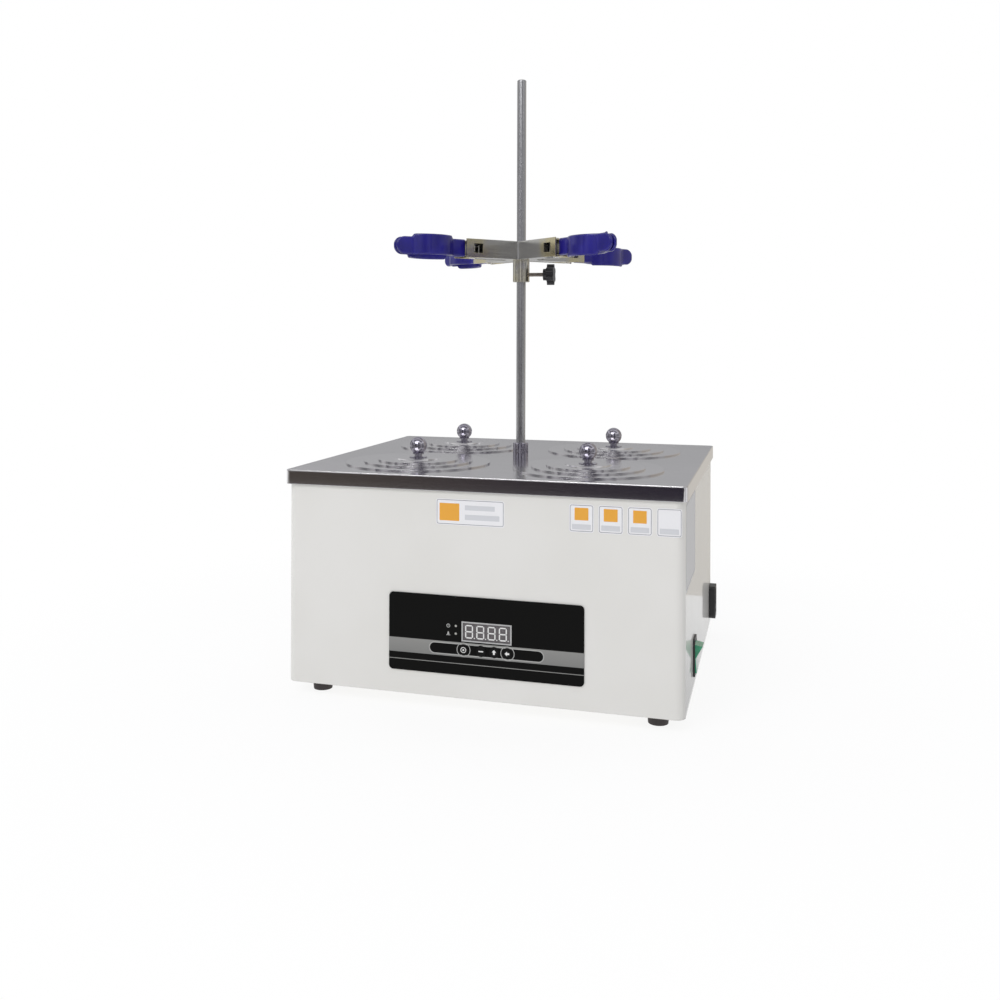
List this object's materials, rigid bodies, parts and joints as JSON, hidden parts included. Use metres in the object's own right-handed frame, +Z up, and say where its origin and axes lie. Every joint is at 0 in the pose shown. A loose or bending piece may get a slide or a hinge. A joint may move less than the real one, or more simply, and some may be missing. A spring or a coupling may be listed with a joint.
{
  "type": "chemical oxygen demand bath",
  "caption": "Bench bath with a painted case, a steel cover with nested ring lids, a front control panel and a rod that carries a sprung cross-shaped clamp.",
  "frame": {"origin": "middle of the whole part's footprint, on the bench under the rubber feet", "axes": "+X to the right seen from the control panel's side, +Y to the back, +Z up"},
  "size_m": [0.4374, 0.4276, 0.6965],
  "materials": {
    "white_paint": "smooth semi-gloss stoving paint",
    "cover_steel": "polished stainless sheet",
    "steel": "satin stainless steel",
    "plated_steel": "bright nickel plate",
    "chrome": "polished chrome",
    "rubber": "moulded black rubber",
    "mineral_wool": "pressed mineral wool",
    "brass": "turned brass",
    "ceramic_black": "moulded black thermoset",
    "black_plastic": "fine grained black plastic",
    "panel_film": "black printed film on a stiff sheet",
    "display_plastic": "dark display plastic",
    "key_rubber": "soft black key rubber",
    "board_laminate": "green circuit laminate",
    "rocker_green": "clear green rocker plastic",
    "blue_vinyl": "dipped blue vinyl",
    "spring_steel": "drawn spring wire"
  },
  "bodies": {
    "housing": {"outer_case": "white_paint", "rear_panel": "white_paint", "base_plate": "plated_steel", "rubber_feet": "rubber", "case_screws": "plated_steel", "inner_tank": "steel", "tank_insulation": "mineral_wool", "heater_element": "steel", "heater_glands": "brass", "flask_shelf": "steel", "temperature_probe": "steel", "safety_thermostat": "ceramic_black", "top_deck": "cover_steel", "rod_socket": "chrome", "socket_nut": "plated_steel", "drain_valve_body": "brass", "control_panel": "panel_film", "display_module": "display_plastic", "control_board": "board_laminate", "solid_state_relay": "ceramic_black", "terminal_block": "black_plastic", "switch_frame": "black_plastic", "mains_inlet": "black_plastic"},
    "rod": {"support_rod": "steel"},
    "clamp_head": {"clamp_hub": "plated_steel", "clamp_brackets": "plated_steel", "jaw_pins": "plated_steel", "jaw_springs": "spring_steel"},
    "clamp_screw": {"thumbscrew": "black_plastic"},
    "rocker": {"power_rocker": "rocker_green"},
    "drain_handle": {"drain_lever": "brass"},
    "key_button_1": {"key_1": "key_rubber"},
    "key_button_2": {"key_2": "key_rubber"},
    "key_button_3": {"key_3": "key_rubber"},
    "key_button_4": {"key_4": "key_rubber"},
    "ring_outer_front_left": {"outer_ring_front_left": "cover_steel"},
    "ring_middle_front_left": {"middle_ring_front_left": "cover_steel"},
    "cap_front_left": {"lid_cap_front_left": "cover_steel", "lid_knob_front_left": "chrome"},
    "ring_outer_front_right": {"outer_ring_front_right": "cover_steel"},
    "ring_middle_front_right": {"middle_ring_front_right": "cover_steel"},
    "cap_front_right": {"lid_cap_front_right": "cover_steel", "lid_knob_front_right": "chrome"},
    "ring_outer_back_left": {"outer_ring_back_left": "cover_steel"},
    "ring_middle_back_left": {"middle_ring_back_left": "cover_steel"},
    "cap_back_left": {"lid_cap_back_left": "cover_steel", "lid_knob_back_left": "chrome"},
    "ring_outer_back_right": {"outer_ring_back_right": "cover_steel"},
    "ring_middle_back_right": {"middle_ring_back_right": "cover_steel"},
    "cap_back_right": {"lid_cap_back_right": "cover_steel", "lid_knob_back_right": "chrome"},
    "grip_front_right_left": {"jaw_front_right_left": "blue_vinyl"},
    "grip_front_right_right": {"jaw_front_right_right": "blue_vinyl"},
    "grip_back_right_left": {"jaw_back_right_left": "blue_vinyl"},
    "grip_back_right_right": {"jaw_back_right_right": "blue_vinyl"},
    "grip_back_left_left": {"jaw_back_left_left": "blue_vinyl"},
    "grip_back_left_right": {"jaw_back_left_right": "blue_vinyl"},
    "grip_front_left_left": {"jaw_front_left_left": "blue_vinyl"},
    "grip_front_left_right": {"jaw_front_left_right": "blue_vinyl"}
  },
  "joints": [
    {"name": "rod_turn", "type": "hinge", "parent": "housing", "child": "rod", "pos_m": [-0.00366, -0.02025, 0.243], "axis": [0, 0, 1], "continuous": true},
    {"name": "clamp_height", "type": "slide", "parent": "rod", "child": "clamp_head", "axis": [0, 0, 1], "range_m": [-0.13, 0.19]},
    {"name": "clamp_screw_turn", "type": "hinge", "parent": "clamp_head", "child": "clamp_screw", "pos_m": [-0.00366, -0.02025, 0.46175], "axis": [0.9976, 0.0698, 0], "range_deg": [0, 540]},
    {"name": "power_switch", "type": "hinge", "parent": "housing", "child": "rocker", "pos_m": [0.20584, -0.10425, 0.047], "axis": [0, 1, 0], "range_deg": [-24, 0]},
    {"name": "drain_turn", "type": "hinge", "parent": "housing", "child": "drain_handle", "pos_m": [-0.12366, 0.18725, 0.1388], "axis": [0, 0, 1], "range_deg": [0, 90]},
    {"name": "key_press_1", "type": "slide", "parent": "housing", "child": "key_button_1", "axis": [0, 1, 0], "range_m": [0, 0.0005], "stiffness_N_per_m": 900, "springref_m": -0.0004},
    {"name": "key_press_2", "type": "slide", "parent": "housing", "child": "key_button_2", "axis": [0, 1, 0], "range_m": [0, 0.0005], "stiffness_N_per_m": 900, "springref_m": -0.0004},
    {"name": "key_press_3", "type": "slide", "parent": "housing", "child": "key_button_3", "axis": [0, 1, 0], "range_m": [0, 0.0005], "stiffness_N_per_m": 900, "springref_m": -0.0004},
    {"name": "key_press_4", "type": "slide", "parent": "housing", "child": "key_button_4", "axis": [0, 1, 0], "range_m": [0, 0.0005], "stiffness_N_per_m": 900, "springref_m": -0.0004},
    {"name": "lift_outer_ring_front_left", "type": "slide", "parent": "housing", "child": "ring_outer_front_left", "axis": [0, 0, 1], "range_m": [0, 0.02]},
    {"name": "lift_middle_ring_front_left", "type": "slide", "parent": "ring_outer_front_left", "child": "ring_middle_front_left", "axis": [0, 0, 1], "range_m": [0, 0.02]},
    {"name": "lift_cap_front_left", "type": "slide", "parent": "ring_middle_front_left", "child": "cap_front_left", "axis": [0, 0, 1], "range_m": [0, 0.025]},
    {"name": "lift_outer_ring_front_right", "type": "slide", "parent": "housing", "child": "ring_outer_front_right", "axis": [0, 0, 1], "range_m": [0, 0.02]},
    {"name": "lift_middle_ring_front_right", "type": "slide", "parent": "ring_outer_front_right", "child": "ring_middle_front_right", "axis": [0, 0, 1], "range_m": [0, 0.02]},
    {"name": "lift_cap_front_right", "type": "slide", "parent": "ring_middle_front_right", "child": "cap_front_right", "axis": [0, 0, 1], "range_m": [0, 0.025]},
    {"name": "lift_outer_ring_back_left", "type": "slide", "parent": "housing", "child": "ring_outer_back_left", "axis": [0, 0, 1], "range_m": [0, 0.02]},
    {"name": "lift_middle_ring_back_left", "type": "slide", "parent": "ring_outer_back_left", "child": "ring_middle_back_left", "axis": [0, 0, 1], "range_m": [0, 0.02]},
    {"name": "lift_cap_back_left", "type": "slide", "parent": "ring_middle_back_left", "child": "cap_back_left", "axis": [0, 0, 1], "range_m": [0, 0.025]},
    {"name": "lift_outer_ring_back_right", "type": "slide", "parent": "housing", "child": "ring_outer_back_right", "axis": [0, 0, 1], "range_m": [0, 0.02]},
    {"name": "lift_middle_ring_back_right", "type": "slide", "parent": "ring_outer_back_right", "child": "ring_middle_back_right", "axis": [0, 0, 1], "range_m": [0, 0.02]},
    {"name": "lift_cap_back_right", "type": "slide", "parent": "ring_middle_back_right", "child": "cap_back_right", "axis": [0, 0, 1], "range_m": [0, 0.025]},
    {"name": "open_front_right_left", "type": "hinge", "parent": "clamp_head", "child": "grip_front_right_left", "pos_m": [0.04917, -0.06617, 0.48975], "axis": [0, 0, 1], "range_deg": [0, 15], "stiffness_Nm_per_rad": 0.35, "springref_deg": -14.32, "deforming": ["jaw_springs"]},
    {"name": "open_front_right_right", "type": "hinge", "parent": "clamp_head", "child": "grip_front_right_right", "pos_m": [0.04917, -0.06617, 0.48975], "axis": [0, 0, -1], "range_deg": [0, 15], "stiffness_Nm_per_rad": 0.35, "springref_deg": -14.32, "deforming": ["jaw_springs"]},
    {"name": "open_back_right_left", "type": "hinge", "parent": "clamp_head", "child": "grip_back_right_left", "pos_m": [0.04227, 0.03258, 0.48975], "axis": [0, 0, 1], "range_deg": [0, 15], "stiffness_Nm_per_rad": 0.35, "springref_deg": -14.32, "deforming": ["jaw_springs"]},
    {"name": "open_back_right_right", "type": "hinge", "parent": "clamp_head", "child": "grip_back_right_right", "pos_m": [0.04227, 0.03258, 0.48975], "axis": [0, 0, -1], "range_deg": [0, 15], "stiffness_Nm_per_rad": 0.35, "springref_deg": -14.32, "deforming": ["jaw_springs"]},
    {"name": "open_back_left_left", "type": "hinge", "parent": "clamp_head", "child": "grip_back_left_left", "pos_m": [-0.05649, 0.02567, 0.48975], "axis": [0, 0, 1], "range_deg": [0, 15], "stiffness_Nm_per_rad": 0.35, "springref_deg": -14.32, "deforming": ["jaw_springs"]},
    {"name": "open_back_left_right", "type": "hinge", "parent": "clamp_head", "child": "grip_back_left_right", "pos_m": [-0.05649, 0.02567, 0.48975], "axis": [0, 0, -1], "range_deg": [0, 15], "stiffness_Nm_per_rad": 0.35, "springref_deg": -14.32, "deforming": ["jaw_springs"]},
    {"name": "open_front_left_left", "type": "hinge", "parent": "clamp_head", "child": "grip_front_left_left", "pos_m": [-0.04958, -0.07308, 0.48975], "axis": [0, 0, 1], "range_deg": [0, 15], "stiffness_Nm_per_rad": 0.35, "springref_deg": -14.32, "deforming": ["jaw_springs"]},
    {"name": "open_front_left_right", "type": "hinge", "parent": "clamp_head", "child": "grip_front_left_right", "pos_m": [-0.04958, -0.07308, 0.48975], "axis": [0, 0, -1], "range_deg": [0, 15], "stiffness_Nm_per_rad": 0.35, "springref_deg": -14.32, "deforming": ["jaw_springs"]}
  ]
}
